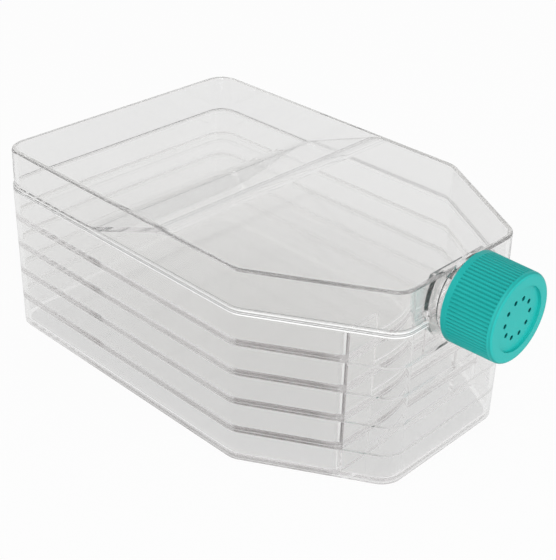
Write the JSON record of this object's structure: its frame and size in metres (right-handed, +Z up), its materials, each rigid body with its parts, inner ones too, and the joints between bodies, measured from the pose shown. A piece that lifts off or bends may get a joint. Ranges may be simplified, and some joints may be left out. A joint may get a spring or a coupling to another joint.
{
  "type": "stacked cell culture flask",
  "caption": "Clear stacked culture flask: shallow trays under a ramped cover share one front manifold, and a vented teal screw cap closes the neck.",
  "frame": {"origin": "on the bench, under the middle of the whole length", "axes": "+X from the rear wall to the cap, +Y to the left seen from behind, +Z up"},
  "size_m": [0.213, 0.125, 0.0873],
  "materials": {
    "clear_polystyrene": "clear, polished mould finish",
    "cap_teal": "satin teal moulding",
    "membrane_white": "matte filter membrane",
    "liner_white": "soft matte seal"
  },
  "bodies": {
    "flask": {"base_tray": "clear_polystyrene", "tray_4": "clear_polystyrene", "tray_3": "clear_polystyrene", "tray_2": "clear_polystyrene", "tray_1": "clear_polystyrene", "top_cover": "clear_polystyrene", "neck": "clear_polystyrene"},
    "liner": {"vent_membrane": "membrane_white", "seal_liner": "liner_white"},
    "cap": {"cap": "cap_teal"}
  },
  "joints": [
    {"name": "cap_lift", "type": "slide", "parent": "flask", "child": "liner", "axis": [1, 0, 0], "range_m": [0, 0.006]},
    {"name": "cap_turn", "type": "hinge", "parent": "liner", "child": "cap", "pos_m": [0.1, 0, 0.0698], "axis": [1, 0, 0], "range_deg": [0, 540]}
  ],
  "couplings": [
    {"joint": "cap_lift", "follows": "cap_turn", "m_per_rad": 0.000636}
  ]
}
